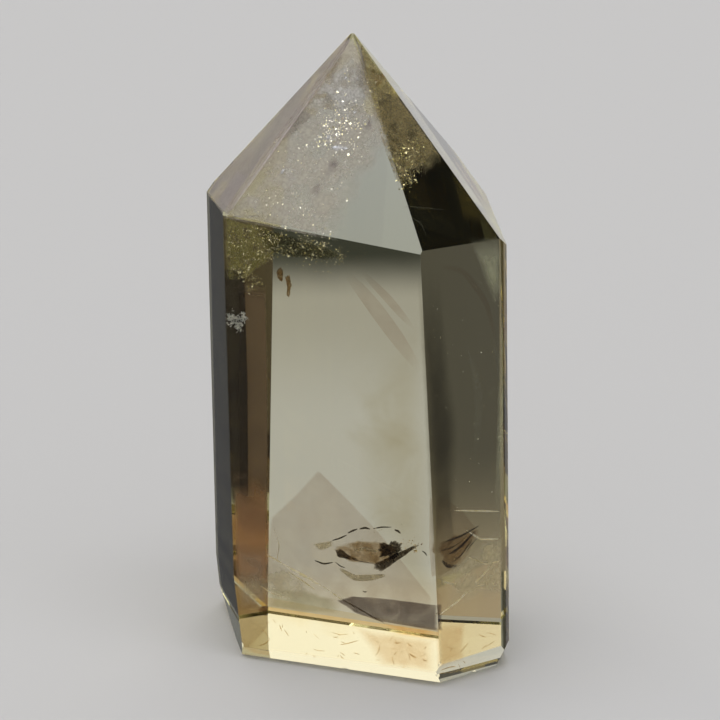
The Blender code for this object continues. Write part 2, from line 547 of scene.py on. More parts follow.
@dataclass(frozen=True)
class FilmStain:
    """A film of iron oxide or dark mineral on a healed crack: it tints the light that passes. Some of
    them are tints of painted shade, and one is a painted glint, standing in for light and shade that
    the crystal shows.
    """

    name: str
    film: str                          # the colour it shows by reflected light
    passes: str                        # the colour of the light that the whole film lets through
    cover: float                       # share that reflects
    patch: float                       # mm between its patches
    spread: float                      # how much the cover varies
    soft: float                        # how far in from the rim it is still thinning
    uneven: float = 0.25               # how patchy the tint is
    fade: tuple[Place, Place] | None = None            # from where it is gone to where it is full
    shaded: float = 0.6                # how much darker its dark patches are
    glow: float = 0.35                 # share of its light that comes through from behind

    def material(self) -> bpy.types.Material:
        """Make the material: a patchy film over a tinted clear crack, half on each of its sides."""
        mat, tree, place = blank("film_" + self.name)
        patches = add_node(tree, "ShaderNodeTexNoise",
                           {"Scale": 1 / (self.patch * MM), "Detail": 4.0, "Distortion": 0.6},
                           {"Vector": place}).outputs["Fac"]
        there = fading(tree, place, self.soft, self.fade, patches)
        one_side = 1 - math.sqrt(1 - self.cover)
        share, strength = (
            add_node(tree, "ShaderNodeMath", {"operation": "MULTIPLY"},
                     {0: add_node(tree, "ShaderNodeMapRange",
                                  {"From Min": 0.3, "From Max": 0.7, "To Min": low, "To Max": high},
                                  {"Value": patches}).outputs[0], 1: there})
            for low, high in ((max(one_side - self.spread / 2, 0.0),
                               min(one_side + self.spread / 2, 1.0)), (1 - self.uneven, 1.0)))
        film = linear(self.film)
        dark = (*(self.shaded * value for value in film[:3]), 1.0)
        passes = (*(math.sqrt(value) for value in linear(self.passes)[:3]), 1.0)
        shades, tint = (add_node(tree, "ShaderNodeMix", {"data_type": "RGBA", 6: low, 7: high},
                                 {0: by}).outputs[2]
                        for low, high, by in ((film, dark, patches),
                                              (WHITE, passes, strength.outputs[0])))
        front, back, clear = (
            add_node(tree, kind, None, {"Color": colour})
            for kind, colour in (("ShaderNodeBsdfDiffuse", shades),
                                 ("ShaderNodeBsdfTranslucent", shades),
                                 ("ShaderNodeBsdfTransparent", tint)))
        skin = add_node(tree, "ShaderNodeMixShader", {0: self.glow},
                        {1: front.outputs[0], 2: back.outputs[0]})
        cover(tree, share, clear, skin)
        return mat


@dataclass(frozen=True)
class GlintFlake:
    """Flat crack faces in quartz: gas-filled, they mirror the light like silver scales."""

    name: str
    pale: str
    deep: str
    metal: float
    roughness: float
    patch: float = 0.6                 # mm between its shades

    def material(self) -> bpy.types.Material:
        """Make the material: a shade of its own for nearly every flake."""
        mat, tree, place = blank("glint_" + self.name)
        cells = add_node(tree, "ShaderNodeTexNoise", {"Scale": 1 / (self.patch * MM), "Detail": 1.0},
                         {"Vector": place})
        share = add_node(tree, "ShaderNodeMapRange", {"From Min": 0.38, "From Max": 0.62},
                         {"Value": cells.outputs["Fac"]})
        shade = add_node(tree, "ShaderNodeMix",
                         {"data_type": "RGBA", 6: linear(self.pale), 7: linear(self.deep)},
                         {0: share.outputs[0]})
        skin = add_node(tree, "ShaderNodeBsdfPrincipled",
                        {"Metallic": self.metal, "Roughness": self.roughness},
                        {"Base Color": shade.outputs[2]})
        add_node(tree, "ShaderNodeOutputMaterial", None, {"Surface": skin.outputs[0]})
        return mat


# --------------------------------------------------------------------------- the crystal


@dataclass
class CrystalBody:
    """The crystal itself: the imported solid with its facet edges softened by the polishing."""

    edge_softness: float = 0.14        # mm taken off each facet edge
    flat: float = 0.8                  # triangles that meet at less are one facet
    edge: float = 12.0                 # facets that meet at more have an edge
    finish: PolishedCitrine = PolishedCitrine()

    def build(self) -> list[bpy.types.Object]:
        """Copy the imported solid, join its loose triangles and soften its edges."""
        bm = bmesh.new()
        bm.from_mesh(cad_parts[NODE].data)
        bmesh.ops.remove_doubles(bm, verts=bm.verts, dist=1e-6)
        bmesh.ops.dissolve_limit(bm, angle_limit=math.radians(self.flat), verts=bm.verts,
                                 edges=bm.edges)
        mesh = bpy.data.meshes.new("crystal")
        bm.to_mesh(mesh)
        bm.free()
        crystal = place_in_scene("crystal", mesh)
        soft = crystal.modifiers.new("polished_edges", "BEVEL")
        soft.width = self.edge_softness * MM
        soft.segments = 2
        soft.limit_method = "ANGLE"
        soft.angle_limit = math.radians(self.edge)
        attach(crystal, BODY)
        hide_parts(NODE)
        return [self.dress(crystal)]

    def dress(self, crystal: bpy.types.Object) -> bpy.types.Object:
        """Give the crystal its finish."""
        crystal.data.materials.clear()
        crystal.data.materials.append(self.finish.material())
        return crystal


# --------------------------------------------------------------------------- what grew inside


@dataclass(frozen=True)
class Veil:
    """A flat inclusion: where one sees its outline on a facet, and how deep it lies."""

    seed: int
    facet: Facet
    outline: tuple[Span, ...]          # x and z of its corners
    depth: float
    ragged: float = 0.04
    thickness: float = 0.1
    tilt: float = 0.0                  # mm deeper for each mm upward
    ripple: float = 0.0
    margin: float = 0.3

    def part(self) -> Part:
        """Its closed sheet."""
        x, z = np.array(self.outline).T
        depth = self.depth + self.tilt * (z - z.mean())
        return sheet(self.facet.at(x, z, depth), thickness=self.thickness, ragged=self.ragged,
                     ripple=self.ripple, seed=self.seed, margin=self.margin)


@dataclass(frozen=True)
class Layer:
    """A layer of mist, as wide as this facet alone shows it."""

    facet: Facet
    middle: Span                       # x and z
    depth: float
    seed: int
    radii: Span = (40.0, 40.0)         # beyond every facet, which cut it to shape
    thickness: float = 0.1
    ripple: float = 0.12

    def part(self) -> Part:
        """Its closed lens."""
        return lens(self.facet.at(*self.middle, self.depth), unit(self.facet.plane()[0]),
                    self.radii, 0.0, 120, thickness=self.thickness, ragged=0.0, bulge=0.0,
                    ripple=self.ripple, seed=self.seed, margin=self.facet.own_view(self.depth))


@dataclass(frozen=True)
class Scale:
    """A large bright crack face in the point that mirrors the light."""

    number: int                        # it sets its turn and its outline
    x: float
    z: float
    depth: float
    radii: Span
    thickness: float = 0.05
    ragged: float = 0.16
    bulge: float = 0.02
    ripple: float = 0.01

    def part(self) -> Part:
        """Its closed lens."""
        return lens(TIP_FRONT.at(self.x, self.z, self.depth), unit(TIP_FRONT.mirror()),
                    self.radii, 10.0 * self.number, 36, thickness=self.thickness,
                    ragged=self.ragged, bulge=self.bulge, ripple=self.ripple,
                    seed=30 + self.number, margin=0.35, rings=4)


@dataclass(frozen=True)
class Cloud:
    """A cloud of tiny flakes behind a facet."""

    facet: Facet
    x: Span
    z: Span
    depth: Span
    count: int
    size: Span                         # half lengths, mm
    stray: float                       # how far they turn from mirroring the light above
    seed: int
    clumps: int = 0                    # 0 spreads them evenly
    spread: float = 0.0                # mm round each clump
    cut: tuple[Place, Place] | None = None             # where it ends, and the way to the far side

    def part(self) -> Part:
        """Its flakes, kept inside the crystal and on the near side of the cut."""
        chance = np.random.default_rng(self.seed)
        low, high = np.array([self.x, self.z]).T
        if self.clumps:
            middles = chance.uniform(low, high, (self.clumps, 2))
            spot = (middles[chance.integers(0, self.clumps, self.count)]
                    + chance.normal(scale=self.spread, size=(self.count, 2)))
        else:
            spot = chance.uniform(low, high, (self.count, 2))
        places = self.facet.at(*spot.T, chance.uniform(*self.depth, self.count))
        range_of = self.size[1] / self.size[0]
        long = self.size[0] * range_of ** (chance.uniform(size=self.count) ** 2.2)
        wide = long * chance.uniform(0.35, 0.9, self.count)
        sizes = np.stack([long, wide, 0.003 + 0.02 * wide], axis=1)
        normals = unit(self.facet.mirror() + self.stray * chance.normal(size=(self.count, 3)))
        kept = (places @ PLANES[0].T < PLANES[1] - 0.1).all(axis=1)
        if self.cut is not None:
            start, way = np.array(self.cut)
            kept &= (places - start) @ way + chance.normal(scale=0.5, size=self.count) < 0
        return flakes(places[kept], sizes[kept], normals[kept], self.seed)


@dataclass(frozen=True)
class Thread:
    """A fine line inside: the points one sees it pass on a facet, and its depth."""

    facet: Facet
    path: tuple[Span, ...]             # x and z of its points
    depth: float | tuple[float, ...]   # of all, or of each
    width: float
    flat: float = 0.5
    sides: int = 5
    steps: int = 24

    def part(self) -> Part:
        """Its closed tapering stroke, with its flat side towards the light above."""
        x, z = np.array(self.path).T
        return stroke(self.facet.at(x, z, self.depth), self.width, self.sides, self.steps,
                      self.flat, unit(self.facet.mirror()))


def threads(facet: Facet, depth: float, *rows: tuple[float, ...], **shape: float
            ) -> tuple[Thread, ...]:
    """Threads at one depth behind a facet.

    Args:
        facet: the facet.
        depth: how deep they lie, in mm.
        *rows: for each, its width and then x and z of its points in turn, in mm.
        **shape: their other sizes.

    Returns:
        The threads.
    """
    return tuple(Thread(facet, tuple(zip(row[1::2], row[2::2])), depth, row[0], **shape)
                 for row in rows)


@dataclass(frozen=True)
class Growth:
    """One piece of what grew inside: its parts and its finish."""

    name: str
    finish: MineralMist | FilmStain | GlintFlake
    shapes: tuple[Veil | Layer | Scale | Cloud | Thread, ...] = ()
    smooth: bool = True

    def parts(self) -> list[Part]:
        """Its closed parts."""
        return [shape.part() for shape in self.shapes]

    def build(self) -> bpy.types.Object:
        """Build the piece."""
        return self.dress(piece(self.name, self.parts(), self.smooth))

    def dress(self, made: bpy.types.Object) -> bpy.types.Object:
        """Give the piece its finish."""
        made.data.materials.append(self.finish.material())
        return made


@dataclass(frozen=True)
class Inclusions:
    """A sub-assembly of things that grew together: each of its fields is a piece."""

    def build(self) -> list[bpy.types.Object]:
        """Build and dress the pieces in the order of the fields."""
        return [getattr(self, one.name).build() for one in fields(self)]


CLEAR = ((4.6, -9.9, 65.0), (0.88, 0.02, -0.48))       # the tip's lower right stays clear
GOLD_WAY = (0.45, 0.35, -0.82)                         # and so does the foot of its right facet


@dataclass(frozen=True)
class TipMist(Inclusions):
    """The milky mist of the point, with its silver glitter and its few large bright scales."""

    front: Growth = Growth("tip_mist_front", MineralMist(
        "front", "FFFAF4", 0.38, 0.15, 3.4, (0.36, 0.64), 0.04, 0.4, 0.15,
        ((5.6, -9.9, 64.5), (2.6, -9.9, 66.1))), (
        Layer(TIP_FRONT, (-1.5, 66), 0.7, 0),
        Layer(TIP_FRONT, (-1.5, 66), 1.9, 1),
    ))
    # Partly painted shade: the same mist as on the front, given a darker olive colour because the
    # point's right facet looks dark.
    right: Growth = Growth("tip_mist_right", MineralMist(
        "right", "C9BC92", 0.62, 0.12, 2.0, (0.4, 0.6), 0.05, 0.25, 0.35,
        ((10.0, -8.0, 64.0), (8.2, -8.0, 65.8))), (
        Layer(TIP_RIGHT, (7, 68), 0.6, 0),
        Layer(TIP_RIGHT, (7, 68), 1.8, 1),
    ))
    left: Growth = Growth("tip_mist_left", MineralMist(
        "left", "EEE6E6", 0.5, 0.42, 6.0, (0.3, 0.7), 0.03, 0.5, 0.08), (
        Layer(TIP_LEFT, (-9, 65.5), 0.7, 0),
        Veil(19, TIP_LEFT, ((-15.8, 58.8), (-12.2, 60.2), (-11.6, 63), (-15, 61.6)), 0.35, 0.03,
             0.12, margin=0.1),
    ))
    wisps: Growth = Growth("tip_wisps", MineralMist(
        "wisps", "FFFFFF", 0.72, 0.06, 1.6, (0.42, 0.6), 0.5, 0.3, 0.3), (
        Veil(20, TIP_FRONT, ((-2.6, 75.2), (1.2, 75.6), (2.6, 72.6), (3.4, 69.6), (2.2, 67.4),
             (0, 66.2), (-2.4, 67.6), (-2.8, 71.4)), 1.1, 0.1, 0.12),
        Veil(21, TIP_FRONT, ((-7, 71.4), (-3, 75.4), (-0.6, 78), (1.2, 76.4), (3, 72.8), (0, 70)),
             0.5, thickness=0.12),
        Veil(22, TIP_FRONT, ((-0.6, 74.2), (2.2, 73.8), (3.2, 71), (2.4, 69.2), (-0.2, 69.6)), 1.6,
             0.12, 0.12),
        Veil(23, TIP_FRONT, ((-7.6, 65.6), (-4.4, 65.4), (-3.4, 63), (-6, 62.4), (-8.4, 63.2)),
             1.2, 0.12, 0.12),
        Veil(24, TIP_FRONT, ((-11, 61.4), (-7, 61.8), (-4, 60.4), (-5, 59.2), (-11.4, 60)), 1.2,
             0.1, 0.12),
        Veil(25, TIP_FRONT, ((-2.6, 66.4), (0.2, 66.6), (2.4, 65.6), (1.2, 63.2), (-1.6, 63.4)),
             1.5, 0.14, 0.12),
    ))
    smudges: Growth = Growth("tip_smudges", FilmStain(
        "lilac_smudge", "8E8288", "BDB2B8", 0.1, 0.8, 0.1, 0.7, 0.5), (
        Veil(26, TIP_FRONT, ((-0.9, 66), (0.2, 66.6), (0.9, 66.2), (0.2, 64.9), (-0.7, 64.4)), 0.8,
             0.16, 0.12),
        Veil(27, TIP_FRONT, ((-2.2, 63.4), (-1.3, 63.9), (-0.7, 63.2), (-1.2, 62.2), (-2, 62.4)),
             0.8, 0.16, 0.12),
        Veil(28, TIP_FRONT, ((3.2, 71.6), (4, 70.4), (3.8, 69.2), (2.8, 69.8)), 0.8, 0.1, 0.12),
    ))
    glitter: Growth = Growth("tip_glitter", GlintFlake("silver", "FBF9F0", "D6CFA6", 0.95, 0.1), (
        Cloud(TIP_FRONT, (-12, 4), (58, 76), (0.4, 4), 420, (0.04, 0.16), 0.22, 3, cut=CLEAR),
        Cloud(TIP_FRONT, (-2, 3), (66, 75), (0.4, 3), 240, (0.06, 0.22), 0.16, 4, 22, 0.45,
              cut=CLEAR),
        Cloud(TIP_FRONT, (-8, 2), (58.5, 65), (0.4, 3), 260, (0.05, 0.2), 0.16, 5, 26, 0.5,
              cut=CLEAR),
        Cloud(TIP_FRONT, (-2.4, 2.4), (66.4, 75.4), (0.25, 0.6), 260, (0.06, 0.24), 0.1, 8, 18,
              0.5, cut=CLEAR),
        Cloud(TIP_FRONT, (-11, 3), (59, 74), (0.25, 0.6), 170, (0.05, 0.18), 0.12, 9, cut=CLEAR),
    ), False)
    gold: Growth = Growth("tip_gold_glitter", GlintFlake("gold", "F6EDB8", "B9AF6C", 0.8, 0.2), (
        Cloud(TIP_RIGHT, (3, 11.5), (64.3, 74), (0.16, 0.5), 420, (0.05, 0.18), 0.18, 6, 30, 0.6,
              ((9.3, -7, 65.1), GOLD_WAY)),
        Cloud(TIP_RIGHT, (6.4, 11.5), (64, 67.8), (0.16, 0.5), 520, (0.06, 0.2), 0.18, 7, 22, 0.5,
              ((9.3, -7, 64.5), GOLD_WAY)),
    ), False)
    scales: Growth = Growth("tip_scales", GlintFlake("scale", "F4F6FA", "C4C9D2", 0.9, 0.16), (
        Scale(0, 0.3, 67.6, 1.0, (0.95, 0.42)),
        Scale(1, -1.4, 68.6, 1.1, (0.5, 0.3)),
        Scale(2, 1.8, 73.3, 0.8, (0.32, 0.26)),
        Scale(3, -0.9, 72.5, 1.0, (0.34, 0.14)),
        Scale(4, -0.9, 75.0, 0.7, (0.22, 0.14)),
        Scale(5, 0.6, 75.1, 0.7, (0.2, 0.14)),
        Scale(6, -6.3, 64.5, 1.0, (0.44, 0.2)),
        Scale(7, -4.6, 63.9, 1.0, (0.3, 0.2)),
        Scale(8, 1.2, 71.5, 0.9, (0.2, 0.3)),
        Scale(9, -5.5, 59.9, 0.9, (0.2, 0.2)),
        Scale(10, -1.0, 60.2, 1.0, (0.22, 0.14)),
    ))


@dataclass(frozen=True)
class ShoulderMist(Inclusions):
    """Olive mist with golden glitter below the point's front edge, painted shade over part of it, a
    rust flake, a feather.
    """

    mist: Growth = Growth("shoulder_mist", MineralMist(
        "shoulder", "BEB87E", 0.8, 0.12, 1.4, (0.38, 0.62), 0.22, 0.18, 0.5), (
        Veil(40, FRONT, ((-13, 59.2), (-7.4, 58.6), (-4.6, 57.6), (-5, 56), (-6.4, 54.2),
             (-8, 53.4), (-13, 53.4)), 0.35, 0.05, 0.12, margin=0.12),
        Veil(41, FRONT, ((-12.8, 56), (-7, 55.4), (-6.6, 54), (-8, 52.8), (-10, 51),
             (-12.8, 50.6)), 1.2, 0.08, 0.12),
    ))
    # Painted shade: a dark olive film that darkens the mist along the point's front edge, where the
    # crystal shows a dark band.
    shade: Growth = Growth("shoulder_shade", FilmStain(
        "olive_shade", "8E8A62", "94947C", 0.55, 1.0, 0.4, 0.35, 0.5), (
        Veil(46, FRONT, ((-8.6, 58.6), (-3, 57.5), (1.6, 56.6), (3.4, 55.8), (0.8, 55), (-4, 54.8),
             (-7.4, 55.2)), 0.32, 0.05, 0.12, margin=0.12),
    ))
    glitter: Growth = Growth("shoulder_glitter", GlintFlake(
        "shoulder_gold", "FBF4CC", "C9BE78", 0.8, 0.2), (
        Cloud(FRONT, (-12.2, -6), (53.8, 58.2), (0.12, 0.34), 330, (0.05, 0.16), 0.13, 11),
        Cloud(FRONT, (-7, 1.2), (55, 57.4), (0.11, 0.28), 380, (0.05, 0.17), 0.13, 12, 24, 0.45),
        Cloud(FRONT, (-1.5, 3.4), (54.6, 56.6), (0.3, 1.6), 130, (0.05, 0.15), 0.13, 13, 14, 0.4),
        Cloud(FRONT, (-12.3, -8.2), (49.8, 53.8), (0.3, 1), 220, (0.05, 0.16), 0.13, 14, 12, 0.35),
        Cloud(FRONT, (-7.8, 3), (50, 54.2), (0.5, 3), 14, (0.05, 0.1), 0.2, 15),
    ), False)
    rust: Growth = Growth("rust_flake", FilmStain(
        "rust", "B08A4C", "A98A58", 0.5, 0.4, 0.4, 0.15, 0.6), (
        Veil(50, FRONT, ((-5.6, 53), (-5, 53.4), (-4.6, 52.6), (-4.9, 51.4), (-5.5, 51.8)), 1.5,
             0.12, 0.16, 0.25, 0.06),
        Veil(51, FRONT, ((-4.5, 52.4), (-3.9, 52.5), (-3.6, 51.2), (-3.8, 49.8), (-4.3, 49.5),
             (-4.2, 50.8)), 1.3, 0.12, 0.16, 0.25, 0.08),
    ))
    feather: Growth = Growth("feather", GlintFlake("feather", "F4F4E6", "B9BAB0", 0.5, 0.35), (
        Cloud(FRONT, (-11.9, -10), (44.6, 46.4), (0.3, 0.8), 240, (0.06, 0.26), 0.13, 16, 9, 0.3),
        Thread(FRONT, ((-11.5, 45.9), (-10.9, 45.8), (-10.2, 45.9)), 0.7, 0.34),
        Thread(FRONT, ((-11.3, 45.3), (-10.8, 45.2), (-10.3, 45.3)), (1, 1, 1.1), 0.2),
        Thread(FRONT, ((-10.4, 46.4), (-10.1, 45.9), (-9.9, 45.2)), (1, 1, 1.1), 0.2),
    ), False)


HEALED = FilmStain("healed_crack", "C6A67C", "C4AB82", 0.34, 1.3, 0.3, 0.3, 0.6)
CRUST = FilmStain("dark_crust", "3A3224", "5E5038", 0.66, 0.4, 0.3, 0.25, 0.5)


@dataclass(frozen=True)
class HealedFracture(Inclusions):
    """The flat healed crack low in the crystal, like a fish, and its twin by the right face."""

    body: Growth = Growth("fracture", HEALED, (
        Veil(60, FRONT, ((1.4, 16.6), (3.2, 17.8), (5.8, 18.5), (9, 18.8), (10.6, 18), (10, 16.4),
             (7.6, 15.2), (4.4, 15.3), (2.2, 15.8)), 2.2, 0.06, 0.14, 0.6, 0.1),
    ))
    pale: Growth = Growth("fracture_pale", FilmStain(
        "pale_crack", "FFF6DC", "F2EBD2", 0.6, 0.5, 0.4, 0.3), (
        Veil(64, FRONT, ((-1.1, 17), (0.2, 17.4), (1.5, 17.8), (1.7, 17.1), (0.4, 16.3),
             (-0.6, 16.3)), 1.9, 0.08, tilt=0.3, ripple=0.04),
        Thread(FRONT, ((2.4, 14.2), (4.6, 13.2), (6.8, 13.6), (8.8, 14.2)), 2.4, 0.9, 0.15),
        Thread(FRONT, ((4.4, 16.9), (6.2, 17.4), (7.8, 17.2)), 2.2, 0.5, 0.15),
    ))
    dark: Growth = Growth("fracture_dark", CRUST, (
        Veil(68, FRONT, ((7.8, 18.4), (9.6, 18.9), (11.2, 18.7), (10.8, 17.4), (9.4, 16.3),
             (8, 16.6)), 2, 0.22, 0.12, 0.5, 0.06),
        Veil(69, FRONT, ((7.2, 15.6), (8.6, 16.4), (10.4, 17.5), (12.4, 18.7), (13.5, 19),
             (12.4, 18.1), (10.8, 16.8), (9.2, 15.4), (8, 14.4), (7.3, 14.6)), 1.9, 0.08, tilt=0.4,
             ripple=0.04),
        Veil(70, FRONT, ((1.9, 16.6), (2.6, 16.9), (3.8, 16.2), (5.2, 15.7), (3.4, 15.5),
             (2.2, 15.7)), 1.9, 0.1, tilt=0.4, ripple=0.04),
        *threads(FRONT, 1.8, (0.22, 1.5, 17.8, 2.6, 18.3, 3.6, 18.9),
                 (0.26, 3.6, 19.1, 4.4, 19.6, 5, 19.9), (0.3, 5.2, 19.9, 6, 20.2, 6.7, 20.1),
                 (0.2, 7, 20.2, 8.2, 20.6, 9.6, 20.8), (0.3, 9.9, 20.5, 10.4, 20.4, 10.8, 20.1)),
        *threads(FRONT, 1.6, (0.24, -0.9, 14.8, 0.4, 14.5, 1.7, 14.9),
                 (0.16, 1.9, 15, 2.7, 14.5, 3.3, 14.4)),
        Thread(FRONT, ((2, 16.4), (4.4, 15.6), (7.4, 15.5)), 1.8, 0.12),
        *threads(FRONT, 1.6, (0.18, 13.6, 18.2, 14, 18, 14.3, 17.6),
                 (0.16, 5.6, 11.6, 5.9, 11.5, 6.2, 11.6)),
    ))
    gold: Growth = Growth("fracture_gold", GlintFlake(
        "fracture_gold", "F4DE9C", "B08E50", 0.7, 0.25), (
        Cloud(FRONT, (10.6, 13.4), (18, 19.4), (1.4, 2.4), 60, (0.05, 0.18), 0.5, 21, 6, 0.3),
        Cloud(FRONT, (5, 10), (16, 19.8), (1.4, 2.4), 50, (0.04, 0.12), 0.5, 22, 10, 0.5),
        Cloud(RIGHT, (15.8, 18.8), (15.6, 20.2), (0.8, 1.8), 60, (0.05, 0.15), 0.6, 23, 8, 0.4),
    ), False)
    twin: Growth = Growth("fracture_twin", HEALED, (
        Veil(72, RIGHT, ((15.7, 19.6), (16.8, 19.8), (18.8, 19.6), (18.3, 17.9), (17.4, 16.1),
             (16.3, 15.3), (15.9, 16.6), (15.6, 18.2)), 1.6, 0.1, 0.12, 0.4, 0.08),
    ))
    twin_dark: Growth = Growth("fracture_twin_dark", CRUST, (
        *threads(RIGHT, 1.4, (0.26, 16, 19.2, 17.4, 19.4, 18.9, 20.1),
                 (0.34, 16.4, 17.4, 17.4, 18, 18.6, 19.6),
                 (0.22, 16.6, 16.2, 17.4, 16.8, 18.4, 18.6),
                 (0.5, 15.9, 16.9, 16.4, 15.9, 17.2, 15.6),
                 (0.14, 17.8, 17, 18.2, 17.8, 18.8, 18.6),
                 (0.16, 15.7, 18.2, 16.6, 18.2, 17.6, 18.7)),
    ))


GHOST = FilmStain("phantom", "C9B9B2", "EFE8E2", 0.04, 3.0, 0.04, 0.05, 0.15,
                  ((0.0, 0.0, 7.0), (0.0, 0.0, 12.5)))


@dataclass(frozen=True)
class Phantom(Inclusions):
    """The faint lilac ghost of an earlier point, and below it violet-grey and grey-green films that
    are painted shade: they darken the band low on the front where the back foot shows dark.
    """

    ghost: Growth = Growth("phantom", GHOST, (
        Veil(80, FRONT, ((-0.3, 27.2), (4, 23.5), (8.2, 19.6), (12.4, 14.9), (15, 12), (15, 8),
             (3, 7.6), (-7.5, 7.6), (-7.5, 15.8), (-6.8, 19.8), (-3.4, 23.4)), 3.4, 0),
    ))
    ghost_right: Growth = Growth("phantom_right", GHOST, (
        Veil(84, RIGHT, ((15.3, 25.4), (16, 25.2), (17.6, 22.4), (18.9, 19.2), (17.6, 15.4),
             (15.6, 14.8), (15.3, 19)), 2, 0),
    ))
    # Painted shade: a violet-grey tint standing in for the dark band that the back foot's edge shows
    # low on the front.
    foot: Growth = Growth("violet_foot_shade", FilmStain(
        "violet_painted_shade", "8E8284", "978F8D", 0.2, 2.6, 0.14, 0.1, 0.3), (
        Veil(86, FRONT, ((2, 9.8), (4, 10.7), (9.6, 11.1), (15.8, 11.2), (15.8, 7.7), (8, 7.7),
             (4.4, 8.5)), 1.6, 0.02),
    ))
    # Painted shade: the same dark band farther left, as a grey-green tint.
    left_foot: Growth = Growth("olive_foot_shade", FilmStain(
        "olive_painted_shade", "C4C2A8", "E4E2D2", 0.1, 2.6, 0.08, 0.4, 0.3), (
        Veil(88, FRONT, ((-8, 10.4), (-2, 10.6), (2.6, 10), (3, 8), (-2.6, 7.2), (-8, 7.4)), 2.6),
    ))


@dataclass(frozen=True)
class EdgeFilms(Inclusions):
    """Smoky, brown and iron-orange films on healed cracks near the left edge, and painted shade
    towards the front-right edge.
    """

    smoke: Growth = Growth("smoke_film", FilmStain(
        "smoke", "726E62", "B4B0A6", 0.7, 3.0, 0.1, 0.12, 0.2), (
        Veil(90, FRONT, ((-12.8, 53), (-9.9, 53), (-9.6, 38), (-9.7, 20), (-12.9, 20), (-13, 38)),
             1.2, 0.01),
    ))
    brown: Growth = Growth("brown_film", FilmStain(
        "brown", "C4AE90", "D4C4AE", 0.8, 3.4, 0.12, 0.14, 0.3), (
        Veil(92, FRONT, ((-10.8, 51), (-7, 51), (-6.9, 34), (-7.1, 17), (-11.2, 17), (-11, 34)),
             1.6, 0.01),
    ))
    orange: Growth = Growth("iron_film", FilmStain(
        "iron", "FFD6A6", "E6CDAA", 0.82, 2.6, 0.2, 0.3, 0.3,
        ((-10.0, -13.0, 25.5), (-10.0, -13.0, 20.0))), (
        Veil(94, FRONT, ((-12.6, 26), (-7, 26), (-7, 18), (-7.1, 10), (-12.8, 10)), 0.7, 0.02),
    ))
    pale: Growth = Growth("pale_iron_film", FilmStain(
        "pale_iron", "FFF6E0", "FFFAF0", 0.5, 2.0, 0.2, 0.6, 0.2), (
        Veil(96, FRONT, ((-12.9, 16), (-6.9, 16), (-6.9, 11), (-7.2, 6.6), (-13, 6.6)), 0.4, 0.02,
             ripple=0.2),
    ))
    # Painted shade: a dark tint over the right face's strip along the front-right edge.
    right_edge_shade: Growth = Growth("right_edge_shade", FilmStain(
        "right_edge_shade", "3C3A30", "A09D90", 0.05, 3.4, 0.04, 0.8, 0.3), (
        Veil(98, RIGHT, ((13.3, 56), (15, 56.4), (15.9, 46), (17, 34), (17, 22), (17.2, 13.4),
             (15.4, 13), (14.9, 22), (14.2, 36)), 0.9, 0.03),
    ))
    # Painted shade: a faint warm tint that darkens the front face more towards its right edge.
    front_painted_shade: Growth = Growth("front_painted_shade", FilmStain(
        "warm_shade", "C8BCA0", "E6DEC8", 0.02, 9.0, 0.02, 0.5, 0.15,
        ((3.0, -12.0, 30.0), (14.0, -12.0, 30.0))), (
        Veil(100, FRONT, ((0, 48), (14, 50), (15.4, 30), (16, 9.4), (2, 8.4), (-3, 14), (-2, 30)),
             5, 0.02),
    ))


@dataclass(frozen=True)
class Haze(Inclusions):
    """Soft cream and greenish clouds of the finest bubbles: at the foot and along the right edge. The
    tinted films over the bright band at the foot are painted: its warmth, its orange glint and the
    shade at its top.
    """

    cream: Growth = Growth("cream_haze", MineralMist(
        "cream", "FFF6DA", 0.5, 0.08, 2.6, (0.36, 0.68), 0.6, 0.4, 0.05), (
        Veil(110, RIGHT, ((16.4, 16), (18.4, 17.2), (20.8, 19.6), (21, 10.4), (16.2, 9.8)), 1.2),
        Veil(111, RIGHT, ((19.4, 17), (21, 18.6), (21, 9.6), (19.2, 9.6)), 0.8),
        Veil(112, FRONT, ((-10.6, 17), (-7.6, 15.2), (-4, 13.2), (-0.4, 11.2), (-2, 8.2),
             (-12, 8.2)), 2.2, 0.05),
    ))
    # Painted reflection colour: a faint warm tint over the bright band that the foot reflects.
    tan: Growth = Growth("foot_band_tint", FilmStain(
        "tan", "FBE2B8", "E9D6C0", 0.06, 2.4, 0.05, 0.5, 0.4), (
        Veil(116, FRONT, ((4, 6.8), (15.8, 6.6), (15.8, 0.9), (8, 1.2)), 0.8, 0.03),
        Veil(117, RIGHT, ((15.6, 9), (18, 8.6), (18, 1.4), (15.8, 1)), 0.8, 0.03),
    ))
    # Painted glint: an orange tint standing in for the warm glint at the back foot's edge.
    orange: Growth = Growth("orange_painted_glint", FilmStain(
        "orange_painted_glint", "FFE0AC", "FFE9CA", 0.03, 1.6, 0.02, 0.6, 0.4), (
        Veil(118, FRONT, ((7, 7.9), (16.2, 8), (16.2, 6.2), (10, 6.2)), 0.6, 0.02),
    ))
    # Painted shade: a tint that fades in upward, darkening the top of the bright band at the foot.
    shade: Growth = Growth("foot_shade", FilmStain(
        "foot_shade", "D8C8A0", "FCF4E2", 0.02, 5.0, 0.02, 0.02, 0.2,
        ((0.0, 0.0, 4.6), (0.0, 0.0, 8.2))), (
        Veil(119, FRONT, ((-8.2, 8.9), (2, 8.5), (15.9, 8), (15.9, 4.4), (2, 4.6), (-8.2, 5)), 0.9,
             0.01),
    ))
    green: Growth = Growth("green_haze", MineralMist(
        "green", "F2F6DC", 0.42, 0.22, 5.0, (0.34, 0.66), 0.9, 0.4, 0.05), (
        Veil(120, RIGHT, ((17.2, 58.2), (20.4, 58.6), (20.8, 49), (19.6, 48), (18.6, 52)), 1, 0.03
             ),
        Veil(121, RIGHT, ((19.8, 58), (21, 58.4), (21.2, 40), (21.2, 18), (20, 18), (20, 40)), 0.6,
             0.02),
    ))


SCRATCH = FilmStain("scratch", "E6C28E", "E4CBA0", 0.3, 0.5, 0.3, 0.5)


